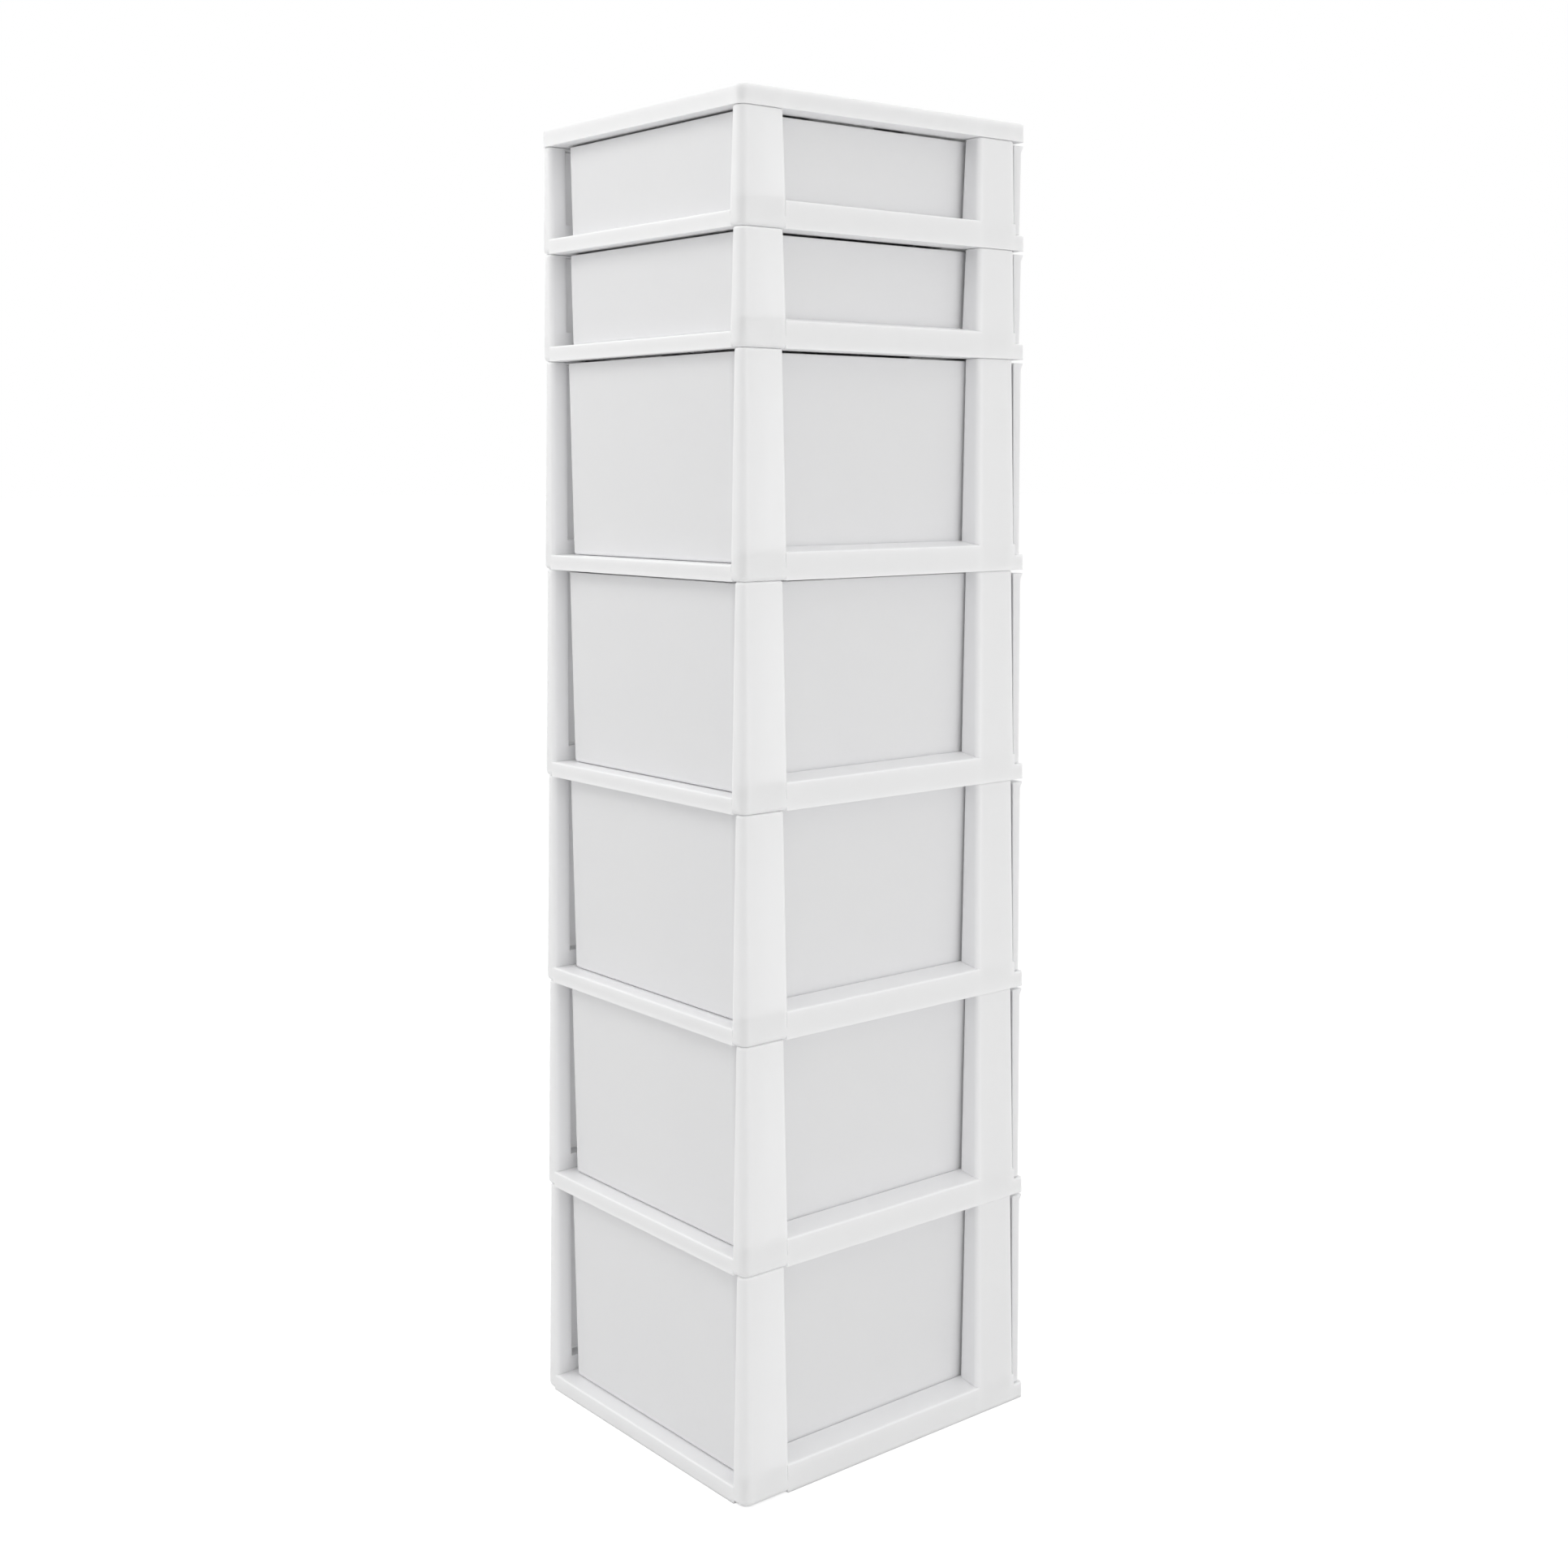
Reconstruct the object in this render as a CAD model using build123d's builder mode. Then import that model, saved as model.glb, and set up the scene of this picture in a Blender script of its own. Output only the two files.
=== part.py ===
"""Drawer tower of stacked frames: five deep bays, two shallow bays and a lid.

Units are millimetres.  +Z is up, the drawers pull out towards -Y, and the
origin is the centre of the footprint on the floor.
"""

import os
from math import radians, tan

from build123d import *

# ---------------------------------------------------------------- the stack
tower_width = 275.0         # across the frames, at the foot of each
tower_depth = 300.0         # rear face to the front of the base rail
deep_pitch = 175.0          # height that one deep frame adds to the stack
shallow_pitch = 90.0        # height that one shallow frame adds
deep_count = 5
shallow_count = 2
lid_height = 15.0

# ---------------------------------------------------------------- moulding
wall = 2.4                  # side walls of frames and lid
plate = 2.4                 # decks, ledges and post caps
draft_angle = 0.65          # degrees that outer faces lean in towards the top
rear_corner_radius = 8.0
front_corner_radius = 4.0
edge_radius = 1.2           # softened rims of the rails

# ---------------------------------------------------------------- base rails
side_rail_height = 21.5     # at the outer face
guide_height = 25.0         # side ledge where it guides the drawer
deck_height = 12.5          # front and rear rails and the runway between
ledge_width = 23.0          # side ledge, outer face to drawer channel
flange_width = 24.0         # flat strip round the underside of frames and lid
post_setback = 11.0         # front posts stand this far behind the front rail

# ---------------------------------------------------------------- corner posts
rear_post_length = 45.0     # along the side face
front_post_length = 43.0
rear_post_width = 16.0      # across, seen from behind
front_post_width = 20.0
window_flare = 2.5          # windows widen by this much on each side of the top
side_window_radius = 4.5    # rounding of the posts towards the side windows
back_window_radius = 4.0    # rounding of the posts towards the back window
chamber_radius = 4.0        # corners of the hollows in the posts and their feet
return_length = 16.0        # closed inner side of the rear posts, from the rear face
cap_radius = 2.0            # softened tops of the posts

# ---------------------------------------------------------------- stacking pegs
foot_plate = 3.0
peg_width = 6.0
peg_length = 24.0
peg_height = 5.0
peg_radius = 2.0
peg_clearance = 0.3

# ---------------------------------------------------------------- deck lattice
lattice_columns = 2
lattice_rows = 3
lattice_bar = 16.0          # bars between the openings
lattice_radius = 8.0
runway_width = 26.0         # strip of deck under each side of a drawer
end_strip_width = 40.0      # strip of deck at the front and the rear
rib_thickness = 2.0
rib_gap = 3.0               # ribs stop this far above the foot

# ---------------------------------------------------------------- drawer tubs
tub_wall = 2.0
tub_floor = 2.0
side_gap = 0.8              # tub to each guide ledge
running_gap = 0.3           # tub floor above the deck
rear_inset = 14.5           # tub's rear wall from the frame's rear face
rim_gap = 2.0               # tub rim below the frame above
tub_draft_angle = 1.4       # degrees that the tub widens towards its rim
tub_corner_radius = 6.0
tub_foot_radius = 3.0
lug_length = 8.0            # stop lugs at the rear of the rim, along the travel
lug_height = 9.0
lug_gap = 2.0               # lugs to the rear posts
lug_setback = 16.0          # lugs from the tub's rear wall
stop_clearance = 1.0        # lugs to the front posts at full travel

# ---------------------------------------------------------------- drawer fronts
front_rail_gap = 0.8        # panel above the front rail
front_top_gap = 3.0         # panel below the frame above
front_close_gap = 0.6       # flange of the panel to the posts
front_side_inset = 2.5      # panel inside the frame's width
front_face_inset = 2.2      # face behind the front rail, so that the lip ends flush with it
front_face_lean = 2.0       # further inset at the face's foot
front_skin = 2.2
front_flange = 2.0
front_edge_radius = 0.5
lip_reach = 2.2             # pull lip beyond the face
lip_height = 5.0
lip_nose = 1.2

# ---------------------------------------------------------------- lid
lid_edge_radius = 1.5
lid_field_inset = 14.0      # plain field sunk in the top of the lid
lid_field_depth = 1.0
lid_field_radius = 10.0

# ---------------------------------------------------------------- places
overrun = 1.0               # cutting shapes run this far past what they cut
half_width = tower_width / 2
half_depth = tower_depth / 2
post_front = -half_depth + post_setback
front_post_back = post_front + front_post_length
rear_post_front = half_depth - rear_post_length
window_middle = (front_post_back + rear_post_front) / 2
window_length = rear_post_front - front_post_back
channel_half = half_width - ledge_width
front_inner_half = half_width - front_post_width
rear_inner_half = half_width - rear_post_width
tub_half = channel_half - side_gap
tub_back = half_depth - rear_inset
face_top = -half_depth + front_face_inset
face_foot = face_top + front_face_lean
panel_back = post_front - front_close_gap
lug_half = rear_inner_half + window_flare - lug_gap
lug_back = tub_back - lug_setback
drawer_travel = lug_back - lug_length - front_post_back + window_flare - stop_clearance


def lean(height):
    """How far an outer face has drawn in at this height above its foot."""
    return height * tan(radians(draft_angle))


def post_feet():
    """Centre, width and length of each corner post's foot."""
    for side in (-1, 1):
        yield (side * (half_width - rear_post_width / 2),
               half_depth - rear_post_length / 2, rear_post_width, rear_post_length)
        yield (side * (half_width - front_post_width / 2),
               post_front + front_post_length / 2, front_post_width, front_post_length)


def flared(start, end, foot, top):
    """Opening that widens on each side by the window flare between its foot and its top."""
    Polygon((start, foot), (end, foot), (end + window_flare, top), (start - window_flare, top),
            align=None)


def skirt_outline(inset):
    """Outline of a moulding's foot from the front rail back, drawn in by inset."""
    with BuildSketch() as outline:
        Rectangle(tower_width - 2 * inset, tower_depth - 2 * inset)
        fillet(outline.vertices().group_by(Axis.Y)[-1], rear_corner_radius - inset)
        fillet(outline.vertices().group_by(Axis.Y)[0], front_corner_radius - inset)
    return outline.sketch


def underside_opening():
    """Plan of the opening inside the flat strip round a moulding's underside."""
    with BuildSketch() as plan:
        RectangleRounded(tower_width - 2 * flange_width, tower_depth - 2 * flange_width,
                         lattice_radius)
    return plan.sketch


def under_skirt():
    """Plan of the hollow inside a moulding's skirt, round the four post feet."""
    with BuildSketch() as plan:
        add(skirt_outline(wall))
        for x, y, width, length in post_feet():
            with Locations((x, y)):
                Rectangle(width, length, mode=Mode.SUBTRACT)
    return plan.sketch


def pegs(clearance):
    """Plan of the four stacking pegs, or of their sockets."""
    for x, y, _, _ in post_feet():
        with Locations((x, y)):
            RectangleRounded(peg_width + 2 * clearance, peg_length + 2 * clearance, peg_radius)


def foot_chambers():
    """Plan of the hollows inside the four post feet."""
    for x, y, width, length in post_feet():
        with Locations((x, y)):
            RectangleRounded(width - 2 * wall, length - 2 * wall, chamber_radius)


def post_chambers():
    """Plan of the hollows of the posts, open towards the bay except at the rear returns."""
    shift = lean(guide_height)
    outer = half_width - shift - wall
    return_half = rear_inner_half + window_flare + wall / 2
    for x, y, width, length in post_feet():
        inner = half_width - width - overrun - chamber_radius
        with Locations(((outer + inner) / 2 * (1 if x > 0 else -1), y)):
            RectangleRounded(outer - inner, length - 2 * wall - 2 * shift, chamber_radius)
    with Locations((0, half_depth - return_length / 2)):
        Rectangle(2 * return_half, return_length, mode=Mode.SUBTRACT)


def ledge_section(side, foot, inset, drop):
    """Section of a side ledge above its foot, drawn in by inset and lowered by drop."""
    outer = half_width - inset
    inner = channel_half + inset
    Polygon((side * outer, foot), (side * (outer - lean(side_rail_height)), side_rail_height - drop),
            (side * inner, guide_height - drop), (side * inner, foot), align=None)


def side_ledge(side):
    """Ledge beside the drawer: rail outside, guide inside, both rims softened."""
    with BuildPart() as ledge:
        with BuildSketch(Plane.XZ.offset(-post_front)):
            ledge_section(side, 0, 0, 0)
        extrude(amount=post_front - rear_post_front - wall)
        rims = ledge.edges().filter_by(Axis.Y).sort_by(Axis.Z)[-2:]
        fillet(rims, edge_radius)
    return ledge.part


def rear_rail():
    """Rear strip of the deck between the rear posts, with its outer rim softened."""
    with BuildPart() as rail:
        with BuildSketch():
            with Locations((0, half_depth - rear_post_length / 2)):
                Rectangle(2 * (rear_inner_half + wall), rear_post_length)
        extrude(amount=deck_height, taper=draft_angle)
        fillet(rail.edges().group_by(Axis.Z)[-1].sort_by(Axis.Y)[-1], edge_radius)
    return rail.part


def front_rail():
    """Front strip of the deck, which reaches out under the drawer front."""
    with BuildPart() as rail:
        with BuildSketch() as plan:
            with Locations((0, (front_post_back - half_depth) / 2)):
                Rectangle(tower_width, front_post_back + half_depth)
            fillet(plan.vertices().group_by(Axis.Y)[0], front_corner_radius)
        extrude(amount=deck_height, taper=draft_angle)
        fillet(rail.edges().group_by(Axis.Z)[-1].sort_by(Axis.Y)[0], edge_radius)
    return rail.part


def post_shell(pitch):
    """The four posts over their feet, cut out of one block whose faces lean in."""
    cut_top = pitch + overrun
    with BuildPart() as shell:
        with BuildSketch() as foot:
            with Locations((0, (post_front + half_depth) / 2)):
                Rectangle(tower_width, half_depth - post_front)
            fillet(foot.vertices().group_by(Axis.Y)[-1], rear_corner_radius)
            fillet(foot.vertices().group_by(Axis.Y)[0], front_corner_radius)
        extrude(amount=pitch, taper=draft_angle)
        # Front mouth between the front posts.
        with BuildSketch(Plane.XZ.offset(half_depth)):
            flared(-front_inner_half, front_inner_half, deck_height, cut_top)
        extrude(amount=-half_depth, mode=Mode.SUBTRACT)
        # Back window between the rear posts.
        with BuildSketch(Plane.XZ.offset(-half_depth - overrun)):
            flared(-rear_inner_half, rear_inner_half, deck_height - plate, cut_top)
        extrude(amount=rear_post_length + overrun, mode=Mode.SUBTRACT)
        # Side windows between the front and the rear posts.
        with BuildSketch(Plane.YZ):
            flared(front_post_back, rear_post_front, deck_height, cut_top)
        extrude(amount=tower_width, both=True, mode=Mode.SUBTRACT)
        # Rounded edges of the posts towards the side windows and the back window.
        upright = shell.edges().filter_by(lambda edge: edge.length > pitch - side_rail_height)
        at_side = upright.filter_by(lambda edge: abs(edge.center().X) > half_width - lean(pitch))
        fillet(at_side.filter_by(lambda edge: abs(edge.center().Y - window_middle)
                                 < window_length / 2 + window_flare), side_window_radius)
        upright = shell.edges().filter_by(lambda edge: edge.length > pitch - side_rail_height)
        at_back = upright.filter_by(lambda edge: edge.center().Y > half_depth - lean(pitch))
        fillet(at_back.filter_by(lambda edge: abs(edge.center().X)
                                 < rear_inner_half + window_flare), back_window_radius)
        fillet(shell.edges().group_by(Axis.Z)[-1], cap_radius)
    return shell.part


def stacking_frame(pitch):
    """One moulding: base tray, side ledges, four open posts and their pegs."""
    mouldings = [post_shell(pitch), side_ledge(-1), side_ledge(1), rear_rail(), front_rail()]
    with BuildPart() as frame:
        for moulding in mouldings:
            add(moulding)
        # Hollow underside: over the flat strip, under the deck and up into the ledges.
        with BuildSketch():
            add(underside_opening())
        extrude(amount=plate, mode=Mode.SUBTRACT)
        with BuildSketch(Plane.XY.offset(plate)):
            add(under_skirt())
        extrude(amount=deck_height - 2 * plate, mode=Mode.SUBTRACT)
        with BuildSketch(Plane.XZ.offset(-window_middle)):
            ledge_section(-1, plate, wall, plate)
            ledge_section(1, plate, wall, plate)
        extrude(amount=window_length / 2, both=True, mode=Mode.SUBTRACT)
        # Hollow feet of the posts, and the hollow posts above the ledges.
        with BuildSketch(Plane.XY.offset(foot_plate)):
            foot_chambers()
        extrude(amount=guide_height - plate - foot_plate, mode=Mode.SUBTRACT)
        with BuildSketch(Plane.XY.offset(guide_height)):
            post_chambers()
        extrude(amount=pitch - guide_height - plate, taper=draft_angle, mode=Mode.SUBTRACT)
        # Lattice in the deck, with ribs under its bars.
        opening_width = (2 * (channel_half - runway_width)
                         - (lattice_columns - 1) * lattice_bar) / lattice_columns
        opening_length = (tower_depth - 2 * end_strip_width
                          - (lattice_rows - 1) * lattice_bar) / lattice_rows
        with BuildSketch(Plane.XY.offset(deck_height + overrun)):
            with GridLocations(opening_width + lattice_bar, opening_length + lattice_bar,
                               lattice_columns, lattice_rows):
                RectangleRounded(opening_width, opening_length, lattice_radius)
        extrude(amount=-(plate + 2 * overrun), mode=Mode.SUBTRACT)
        with BuildSketch(Plane.XY.offset(rib_gap)):
            with GridLocations(opening_width + lattice_bar, 0, lattice_columns - 1, 1):
                Rectangle(rib_thickness, tower_depth - wall)
            with GridLocations(0, opening_length + lattice_bar, 1, lattice_rows - 1):
                Rectangle(2 * channel_half + wall, rib_thickness)
        extrude(amount=deck_height - plate / 2 - rib_gap)
        # Sockets in the foot plates, and pegs on the caps.
        with BuildSketch():
            pegs(peg_clearance)
        extrude(amount=foot_plate, mode=Mode.SUBTRACT)
        with BuildSketch(Plane.XY.offset(pitch)):
            pegs(0)
        extrude(amount=peg_height)
    return frame.part


def front_panel(foot, top):
    """Outside of a drawer front: leaning face, pull lip along its top, square back."""
    panel_half = half_width - front_side_inset
    with BuildPart() as panel:
        with BuildSketch(Plane.YZ.offset(-panel_half)):
            Polygon((panel_back, foot), (panel_back, top), (face_top - lip_reach, top),
                    (face_top - lip_reach, top - lip_nose), (face_top, top - lip_height),
                    (face_foot, foot), align=None)
        extrude(amount=2 * panel_half)
        fillet(panel.faces().sort_by(Axis.X)[0].edges(), front_edge_radius)
        fillet(panel.faces().sort_by(Axis.X)[-1].edges(), front_edge_radius)
    return panel.part


def tub_block(foot, depth, front, inset, radius):
    """Solid block of the tub, drawn in by inset at its sides and rear, rounded below."""
    length = tub_back - inset - front
    with BuildPart() as block:
        with BuildSketch(Plane.XY.offset(foot)) as plan:
            with Locations((0, front + length / 2)):
                Rectangle(2 * (tub_half - inset), length)
            fillet(plan.vertices().group_by(Axis.Y)[-1], tub_corner_radius - inset)
        extrude(amount=depth, taper=-tub_draft_angle)
        fillet(block.faces().sort_by(Axis.Z)[0].edges().sort_by(Axis.Y)[1:], radius)
    return block.part


def drawer(pitch):
    """One drawer moulding: hollow front with its pull lip, tapered tub, stop lugs."""
    foot = deck_height + running_gap
    rim = pitch - rim_gap
    depth = rim - foot
    front_foot = deck_height + front_rail_gap
    front_top = pitch - front_top_gap
    widening = depth * tan(radians(tub_draft_angle))
    lug_inner = tub_half + widening - tub_wall / 2
    panel = front_panel(front_foot, front_top)
    tub = tub_block(foot, depth, face_foot + front_skin / 2, 0, tub_foot_radius)
    hollow = tub_block(foot + tub_floor, depth, face_foot + front_skin, tub_wall,
                       tub_foot_radius - tub_wall / 2)
    with BuildPart() as tray:
        add(panel)
        # The panel is a shallow pan, open towards the posts.
        with BuildSketch(Plane.YZ):
            Polygon((panel_back + overrun, front_foot + front_flange),
                    (panel_back + overrun, front_top - front_flange),
                    (face_top + front_skin, front_top - front_flange),
                    (face_foot + front_skin, front_foot + front_flange), align=None)
        extrude(amount=half_width - front_side_inset - front_flange, both=True,
                mode=Mode.SUBTRACT)
        # Tub, widening towards its rim.  Its front wall is the panel's skin.
        add(tub)
        add(hollow, mode=Mode.SUBTRACT)
        # Stop lugs: they pass the rear posts and meet the front posts.
        for side in (-1, 1):
            with BuildSketch(Plane.XZ.offset(-lug_back)):
                Polygon((side * lug_inner, rim), (side * lug_half, rim),
                        (side * lug_half, rim - lug_height / 2),
                        (side * lug_inner, rim - lug_height), align=None)
            extrude(amount=lug_length)
    return tray.part


def lid():
    """Hollow slab with its skirt, four sockets and a plain field sunk in its top."""
    pocket = lid_height - lid_field_depth - plate
    with BuildPart() as cover:
        with BuildSketch():
            add(skirt_outline(0))
        extrude(amount=lid_height, taper=draft_angle)
        fillet(cover.faces().sort_by(Axis.Z)[-1].edges(), lid_edge_radius)
        with BuildSketch(Plane.XY.offset(lid_height)):
            RectangleRounded(tower_width - 2 * lid_field_inset,
                             tower_depth - 2 * lid_field_inset, lid_field_radius)
        extrude(amount=-lid_field_depth, mode=Mode.SUBTRACT)
        with BuildSketch():
            add(underside_opening())
        extrude(amount=plate, mode=Mode.SUBTRACT)
        with BuildSketch(Plane.XY.offset(plate)):
            add(under_skirt())
        extrude(amount=pocket - plate, mode=Mode.SUBTRACT)
        with BuildSketch(Plane.XY.offset(foot_plate)):
            foot_chambers()
        extrude(amount=pocket - foot_plate, mode=Mode.SUBTRACT)
        with BuildSketch(Plane.XY.offset(rib_gap)):
            Rectangle(rib_thickness, tower_depth - wall)
            with GridLocations(0, tower_depth / lattice_rows, 1, lattice_rows - 1):
                Rectangle(tower_width - wall, rib_thickness)
        extrude(amount=pocket - rib_gap + plate / 2)
        with BuildSketch():
            pegs(peg_clearance)
        extrude(amount=foot_plate, mode=Mode.SUBTRACT)
    return cover.part


def place(moulding, name, base):
    """Set a copy of a moulding at its level in the stack and write it."""
    piece = moulding.moved(Location(Plane.XY.offset(base)))
    piece.label = name
    export_step(piece, "parts/" + name + ".step")


os.makedirs("parts", exist_ok=True)
level = 0
for kind, pitch, count in (("deep", deep_pitch, deep_count),
                           ("shallow", shallow_pitch, shallow_count)):
    frame_moulding = stacking_frame(pitch)
    drawer_moulding = drawer(pitch)
    for number in range(1, count + 1):
        place(frame_moulding, f"{kind}_frame_{number}", level)
        place(drawer_moulding, f"{kind}_drawer_{number}", level)
        level += pitch
place(lid(), "top_lid", level)
print("tower height", level + lid_height, "drawer travel", drawer_travel)
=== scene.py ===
"""Plastic drawer tower.

Dresses the stacked frames, the drawers and the lid, and sets up the studio and the
camera for the photograph's view.
"""

import logging
import math
from dataclasses import dataclass
from enum import Enum
from typing import Any

import bmesh
import bpy
from mathutils import Matrix, Vector

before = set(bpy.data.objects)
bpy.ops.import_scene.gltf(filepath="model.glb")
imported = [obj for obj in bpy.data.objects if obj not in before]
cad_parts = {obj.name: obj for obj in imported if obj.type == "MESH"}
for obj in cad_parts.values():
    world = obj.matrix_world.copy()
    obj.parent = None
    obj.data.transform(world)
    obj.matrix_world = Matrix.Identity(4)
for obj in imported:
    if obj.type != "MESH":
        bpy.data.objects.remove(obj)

LOG = logging.getLogger("drawer_tower")
MM = 0.001
PHOTO_SIDE = 1932
WHITE = (1.0, 1.0, 1.0, 1.0)

# The sRGB curve has a straight foot, and a power above it.
SRGB_FOOT_END = 0.04045
SRGB_FOOT_SLOPE = 12.92
SRGB_OFFSET = 0.055
SRGB_POWER = 2.4


def linear(colour: str) -> tuple[float, float, float, float]:
    """Turns an sRGB hex colour to linear light.

    Args:
        colour: six hex digits, such as "F1F2F3".

    Returns:
        red, green, blue and an alpha of one.
    """
    channels = [int(colour[at:at + 2], 16) / 255 for at in (0, 2, 4)]
    light = [c / SRGB_FOOT_SLOPE if c <= SRGB_FOOT_END
             else ((c + SRGB_OFFSET) / (1 + SRGB_OFFSET)) ** SRGB_POWER
             for c in channels]
    return (*light, 1.0)


def add_node(tree: bpy.types.NodeTree, kind: str,
             settings: dict[str | int, Any] | None = None,
             links: dict[str | int, bpy.types.NodeSocket] | None = None,
             ) -> bpy.types.Node:
    """Adds one node to a node tree.

    Args:
        tree: the node tree.
        kind: the node's type name, such as "ShaderNodeBump".
        settings: values by property name, or by the name or number of an input.
        links: output sockets by the name or number of the input that they feed.

    Returns:
        the new node.
    """
    node = tree.nodes.new(kind)
    for name, value in (settings or {}).items():
        if isinstance(name, str) and hasattr(node, name):
            setattr(node, name, value)
        else:
            node.inputs[name].default_value = value
    for name, socket in (links or {}).items():
        tree.links.new(socket, node.inputs[name])
    return node


def blank_material(name: str) -> tuple[bpy.types.Material, bpy.types.NodeTree]:
    """Makes a material with an empty node tree.

    Args:
        name: the material's name.

    Returns:
        the material and its node tree.
    """
    material = bpy.data.materials.new(name)
    material.use_nodes = True
    material.node_tree.nodes.clear()
    return material, material.node_tree


@dataclass(frozen=True)
class Unevenness:
    """A random pattern on a surface, such as grain.

    The height is nought where the pattern changes only the tone.
    """

    size_mm: float
    detail: float
    roughness: float
    height_mm: float = 0.0

    @property
    def scale(self) -> float:
        """How many of the pattern's patches there are to a metre."""
        return 1 / (self.size_mm * MM)

    @property
    def height(self) -> float:
        """The height of the pattern's relief in metres."""
        return self.height_mm * MM


@dataclass(frozen=True)
class MouldedPolypropylene:
    """Injection-moulded polypropylene, satin from the mould's spark-eroded skin.

    It holds little filler, so the wall is a milky white: light goes in a few
    millimetres and comes out again, edges glow, and shadows on the wall are soft.
    """

    name: str
    colour: str
    flow_colour: str
    roughness: float
    scatter_mm: float
    milkiness: float = 1.0
    # Red, green and blue travel equally far, so the light inside has no tint.
    scatter_spread: tuple[float, float, float] = (1.0, 1.0, 1.0)
    ior: float = 1.49
    roughness_swing: float = 0.05
    # The grain's noise seldom leaves this band.
    noise_low: float = 0.3
    noise_high: float = 0.7
    # Flow marks: broad, faint changes of tone where the melt cooled unevenly.
    flow: Unevenness = Unevenness(size_mm=120.0, detail=2.0, roughness=0.45)
    # Grain of the eroded mould. The real grain is about 0.2 mm, which the render
    # can't show, so it is drawn as coarse as it needs.
    grain: Unevenness = Unevenness(size_mm=1.6, detail=3.0, roughness=0.6,
                                   height_mm=0.012)
    # Sink: large thin walls never cool quite flat.
    sink: Unevenness = Unevenness(size_mm=70.0, detail=1.0, roughness=0.4,
                                  height_mm=0.35)
    edge_mm: float = 0.6
    edge_samples: int = 4

    def material(self) -> bpy.types.Material:
        """Builds the finish.

        Returns:
            the node material.
        """
        material, tree = blank_material(self.name)
        place = add_node(tree, "ShaderNodeTexCoord").outputs["Object"]
        flow = add_node(tree, "ShaderNodeTexNoise",
                        {"Scale": self.flow.scale, "Detail": self.flow.detail,
                         "Roughness": self.flow.roughness},
                        {"Vector": place})
        tone = add_node(tree, "ShaderNodeMix",
                        {"data_type": "RGBA", 6: linear(self.colour),
                         7: linear(self.flow_colour)},
                        {0: flow.outputs["Fac"]})
        grain = add_node(tree, "ShaderNodeTexNoise",
                         {"Scale": self.grain.scale, "Detail": self.grain.detail,
                          "Roughness": self.grain.roughness},
                         {"Vector": place})
        skin = add_node(tree, "ShaderNodeMapRange",
                        {"From Min": self.noise_low, "From Max": self.noise_high,
                         "To Min": self.roughness - self.roughness_swing,
                         "To Max": self.roughness + self.roughness_swing},
                        {"Value": grain.outputs["Fac"]})
        sink = add_node(tree, "ShaderNodeTexNoise",
                        {"Scale": self.sink.scale, "Detail": self.sink.detail,
                         "Roughness": self.sink.roughness},
                        {"Vector": place})
        rounded = add_node(tree, "ShaderNodeBevel",
                           {"samples": self.edge_samples, "Radius": self.edge_mm * MM})
        waves = add_node(tree, "ShaderNodeBump",
                         {"Strength": 1.0, "Distance": self.sink.height},
                         {"Height": sink.outputs["Fac"],
                          "Normal": rounded.outputs["Normal"]})
        relief = add_node(tree, "ShaderNodeBump",
                          {"Strength": 1.0, "Distance": self.grain.height},
                          {"Height": grain.outputs["Fac"],
                           "Normal": waves.outputs["Normal"]})
        plastic = add_node(tree, "ShaderNodeBsdfPrincipled",
                           {"IOR": self.ior, "Metallic": 0.0,
                            "Subsurface Weight": self.milkiness,
                            "Subsurface Radius": self.scatter_spread,
                            "Subsurface Scale": self.scatter_mm * MM},
                           {"Base Color": tone.outputs[2],
                            "Roughness": skin.outputs["Result"],
                            "Normal": relief.outputs["Normal"]})
        add_node(tree, "ShaderNodeOutputMaterial",
                 links={"Surface": plastic.outputs["BSDF"]})
        return material


class Finish(Enum):
    """The tower's two plastics. Light goes further into the drawers' plastic."""

    FRAME = MouldedPolypropylene("white_polypropylene", colour="FBFBFC",
                                 flow_colour="F9F9FA", roughness=0.42, scatter_mm=3.5)
    DRAWER = MouldedPolypropylene("milky_polypropylene", colour="F6F6F9",
                                  flow_colour="F3F3F6", roughness=0.36, scatter_mm=4.5)


@dataclass
class Moulding:
    """A moulded piece of the CAD frame, dressed in its plastic."""

    node: str
    finish: Finish

    def dress(self, materials: dict[Finish, bpy.types.Material]) -> None:
        """Gives the CAD node its plastic.

        Args:
            materials: the built material of each finish.
        """
        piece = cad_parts[self.node]
        piece.data.materials.clear()
        piece.data.materials.append(materials[self.finish])
        LOG.info("dressed %s in %s", self.node, self.finish.name)


@dataclass
class Tower:
    """The stack: frames and lid in one plastic, drawers in the milkier one."""

    drawer_word: str = "_drawer_"

    def mouldings(self) -> list[Moulding]:
        """Lists the stack's pieces, each with its plastic."""
        return [Moulding(node, Finish.DRAWER if self.drawer_word in node else Finish.FRAME)
                for node in sorted(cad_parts)]

    def build(self) -> None:
        """Dresses every piece of the stack."""
        materials = {finish: finish.value.material() for finish in Finish}
        for moulding in self.mouldings():
            moulding.dress(materials)


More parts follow.
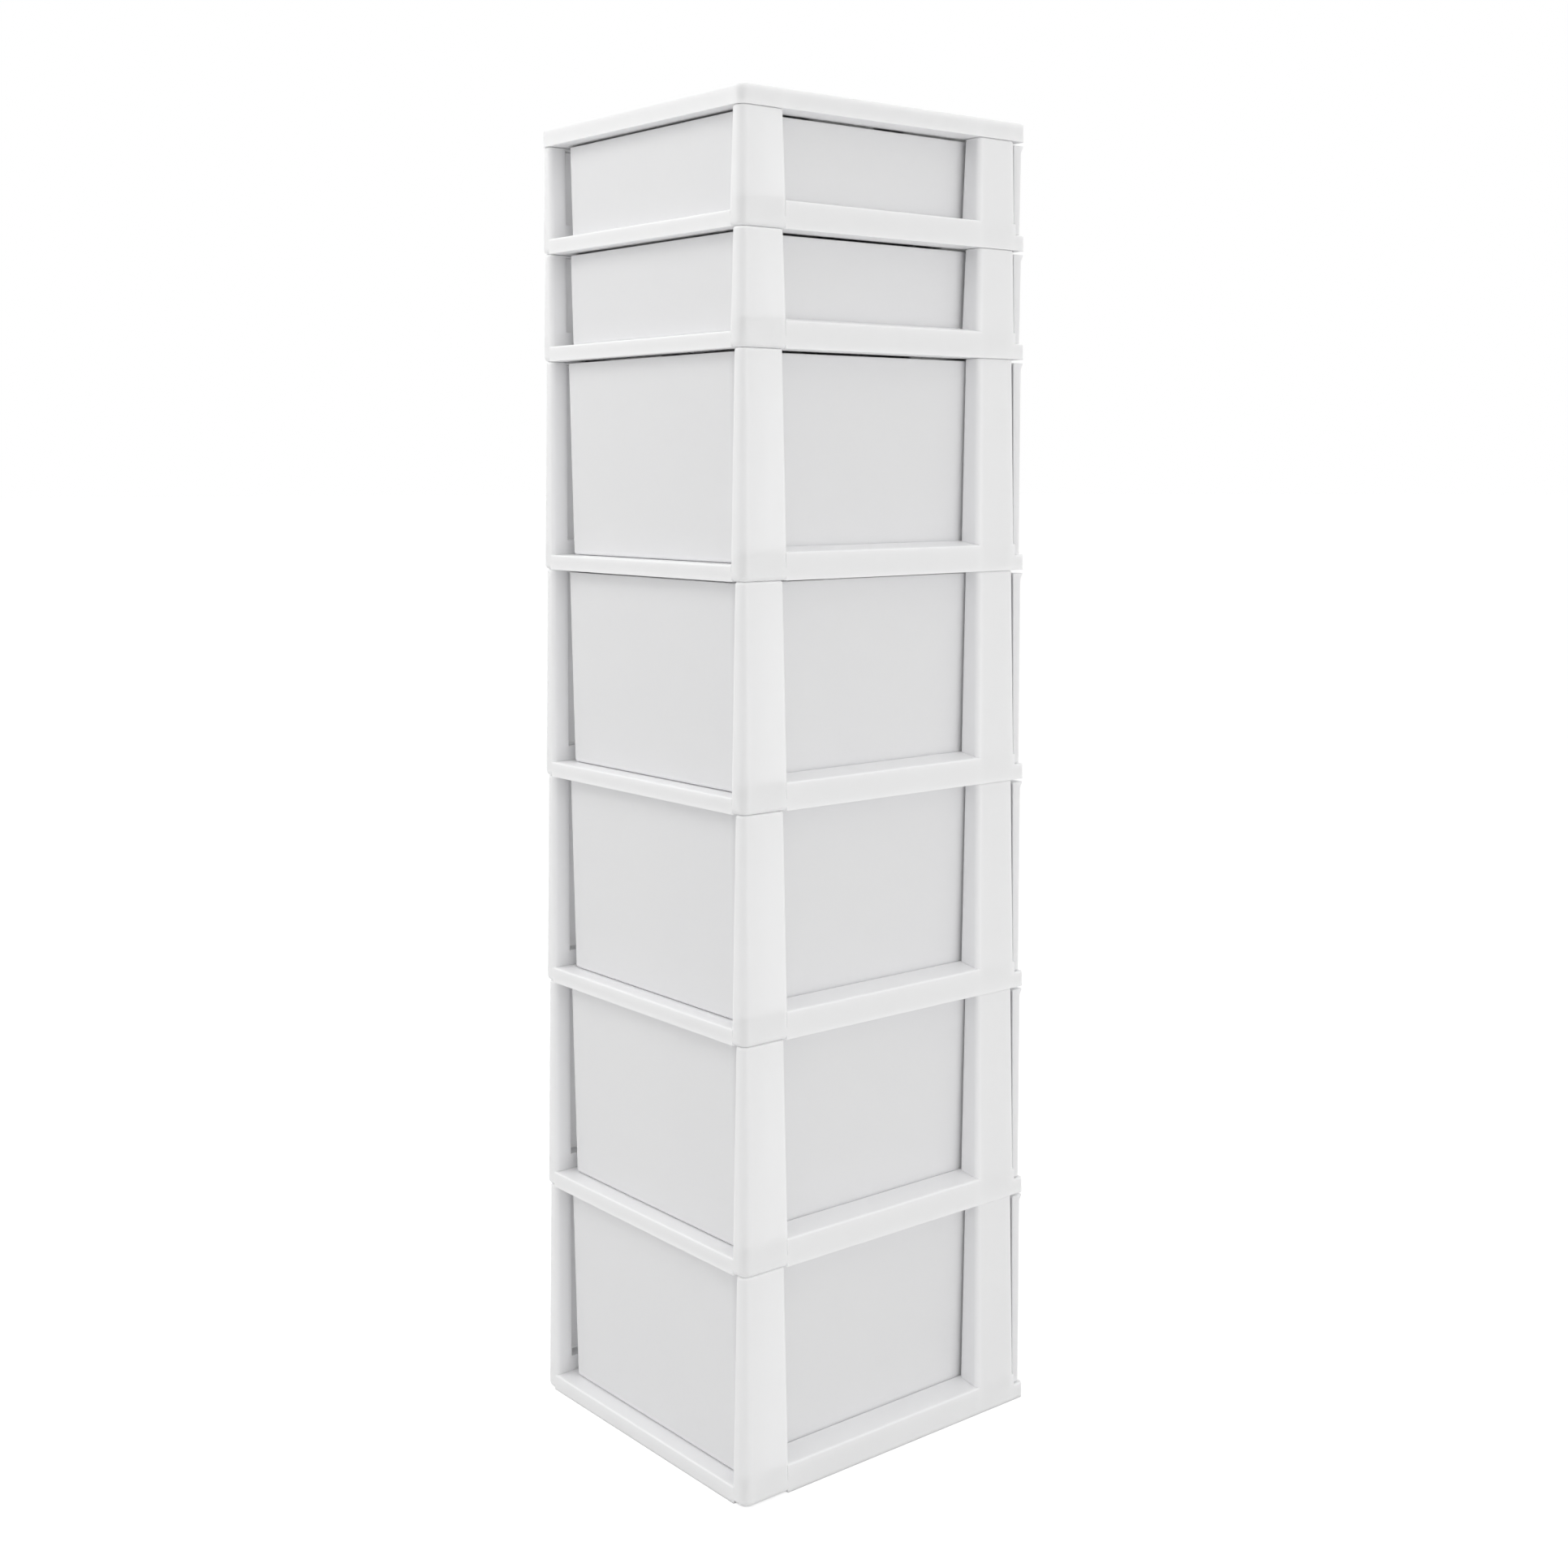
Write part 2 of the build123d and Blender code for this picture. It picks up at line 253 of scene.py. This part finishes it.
@dataclass
class Lamp:
    """A soft rectangular studio lamp that points at the tower, placed in metres."""

    name: str
    place: tuple[float, float, float]
    aim: tuple[float, float, float]
    width: float
    height: float
    watts: float

    def build(self) -> None:
        """Makes the lamp and turns it to its aim."""
        data = bpy.data.lights.new(self.name, "AREA")
        data.shape = "RECTANGLE"
        data.size = self.width
        data.size_y = self.height
        data.energy = self.watts
        lamp = bpy.data.objects.new(self.name, data)
        place = Vector(self.place)
        turn = (Vector(self.aim) - place).to_track_quat("-Z", "Y").to_matrix().to_4x4()
        lamp.matrix_world = Matrix.Translation(place) @ turn
        bpy.context.scene.collection.objects.link(lamp)


@dataclass
class Studio:
    """A white floor in a white room, with soft lamps."""

    floor_radius: float = 60.0
    floor_segments: int = 96
    floor_colour: str = "E6E6E6"
    floor_glow: float = 0.4
    # The paper's cockle: sixty faint waves to the metre.
    cockle: Unevenness = Unevenness(size_mm=1000 / 60, detail=2.0, roughness=0.5,
                                    height_mm=0.2)
    cockle_strength: float = 0.1
    room_light: float = 0.77
    lamps: tuple[Lamp, ...] = (
        Lamp("overhead", (-1.1, -0.2, 2.7), (0.0, 0.0, 0.5), 2.4, 2.4, 4.5),
        Lamp("side_softbox", (-2.4, -0.3, 0.6), (0.0, 0.0, 0.5), 1.6, 1.6, 9.5),
        Lamp("back_softbox", (0.9, 1.3, 1.9), (0.0, 0.1, 1.0), 1.0, 1.0, 11.0),
    )

    def build(self) -> None:
        """Makes the floor, the surroundings and the lamps."""
        self.make_floor()
        self.make_surroundings()
        for lamp in self.lamps:
            lamp.build()

    def make_floor(self) -> None:
        """Lays the white floor, which keeps the tower's shadow."""
        work = bmesh.new()
        bmesh.ops.create_circle(work, cap_ends=True, segments=self.floor_segments,
                                radius=self.floor_radius)
        bmesh.ops.recalc_face_normals(work, faces=work.faces)
        mesh = bpy.data.meshes.new("floor")
        work.to_mesh(mesh)
        work.free()
        floor = bpy.data.objects.new("floor", mesh)
        bpy.context.scene.collection.objects.link(floor)
        mesh.materials.append(self.floor_material())

    def floor_material(self) -> bpy.types.Material:
        """Paper sweep: matt white, brought up to pure white where the eye sees it.

        Returns:
            the node material.
        """
        material, tree = blank_material("paper_sweep")
        place = add_node(tree, "ShaderNodeTexCoord")
        cockle = add_node(tree, "ShaderNodeTexNoise",
                          {"Scale": self.cockle.scale, "Detail": self.cockle.detail,
                           "Roughness": self.cockle.roughness},
                          {"Vector": place.outputs["Object"]})
        relief = add_node(tree, "ShaderNodeBump",
                          {"Strength": self.cockle_strength,
                           "Distance": self.cockle.height},
                          {"Height": cockle.outputs["Fac"]})
        paper = add_node(tree, "ShaderNodeBsdfDiffuse",
                         {"Color": linear(self.floor_colour)},
                         {"Normal": relief.outputs["Normal"]})
        glow = add_node(tree, "ShaderNodeEmission",
                        links={"Strength": self.seen(tree, self.floor_glow)})
        both = add_node(tree, "ShaderNodeAddShader",
                        links={0: paper.outputs[0], 1: glow.outputs[0]})
        add_node(tree, "ShaderNodeOutputMaterial", links={"Surface": both.outputs[0]})
        return material

    def seen(self, tree: bpy.types.NodeTree, strength: float) -> bpy.types.NodeSocket:
        """Adds a strength that only the eye, a reflection or a clear wall meets.

        Args:
            tree: node tree of the floor or the surroundings.
            strength: value where it is seen.

        Returns:
            the socket that carries the strength.
        """
        path = add_node(tree, "ShaderNodeLightPath")
        mirrored = add_node(tree, "ShaderNodeMath", {"operation": "MAXIMUM"},
                            {0: path.outputs["Is Camera Ray"],
                             1: path.outputs["Is Glossy Ray"]})
        clear = add_node(tree, "ShaderNodeMath", {"operation": "MAXIMUM"},
                         {0: mirrored.outputs[0],
                          1: path.outputs["Is Transmission Ray"]})
        scaled = add_node(tree, "ShaderNodeMath", {"operation": "MULTIPLY", 1: strength},
                          {0: clear.outputs[0]})
        return scaled.outputs[0]

    def make_surroundings(self) -> None:
        """A white room: white where it is seen, and soft even light on the tower."""
        world = bpy.data.worlds.new("white_room")
        world.use_nodes = True
        tree = world.node_tree
        tree.nodes.clear()
        extra = self.seen(tree, 1.0 - self.room_light)
        total = add_node(tree, "ShaderNodeMath", {"operation": "ADD", 1: self.room_light},
                         {0: extra})
        room = add_node(tree, "ShaderNodeBackground", {"Color": WHITE},
                        {"Strength": total.outputs[0]})
        add_node(tree, "ShaderNodeOutputWorld", links={"Surface": room.outputs[0]})
        bpy.context.scene.world = world


@dataclass
class PhotoCamera:
    """The photograph's camera, fitted to the tower's seams and corners.

    Its heading, tilt and roll are in degrees, and its focal length and optical axis
    in pixels of the photograph.
    """

    place_mm: tuple[float, float, float] = (-1321.3, 1078.4, 784.2)
    heading: float = -39.033
    tilt: float = -1.761
    roll: float = -0.113
    focal_px: float = 2498.7
    axis_px: tuple[float, float] = (954.8, 655.0)
    sensor_mm: float = 36.0
    clip_start: float = 0.05

    def build(self) -> None:
        """Makes the camera and sets it as the scene's."""
        data = bpy.data.cameras.new("camera")
        data.sensor_width = self.sensor_mm
        data.lens = self.sensor_mm * self.focal_px / PHOTO_SIDE
        data.shift_x = 0.5 - self.axis_px[0] / PHOTO_SIDE
        data.shift_y = self.axis_px[1] / PHOTO_SIDE - 0.5
        data.clip_start = self.clip_start
        camera = bpy.data.objects.new("camera", data)
        heading, tilt = math.radians(self.heading), math.radians(self.tilt)
        ahead = Vector((math.cos(tilt) * math.cos(heading),
                        math.cos(tilt) * math.sin(heading), math.sin(tilt)))
        right = ahead.cross(Vector((0, 0, 1))).normalized()
        above = right.cross(ahead)
        level = Matrix((right, above, -ahead)).transposed().to_4x4()
        turn = level @ Matrix.Rotation(math.radians(self.roll), 4, "Z")
        camera.matrix_world = Matrix.Translation(Vector(self.place_mm) * MM) @ turn
        bpy.context.scene.collection.objects.link(camera)
        bpy.context.scene.camera = camera


def main() -> None:
    """Builds the scene in order."""
    logging.basicConfig(level=logging.INFO, format="%(name)s: %(message)s")
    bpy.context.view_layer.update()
    view = bpy.context.scene.view_settings
    view.view_transform = "Standard"
    PhotoCamera().build()
    Studio().build()
    Tower().build()


if __name__ == "__main__":
    main()
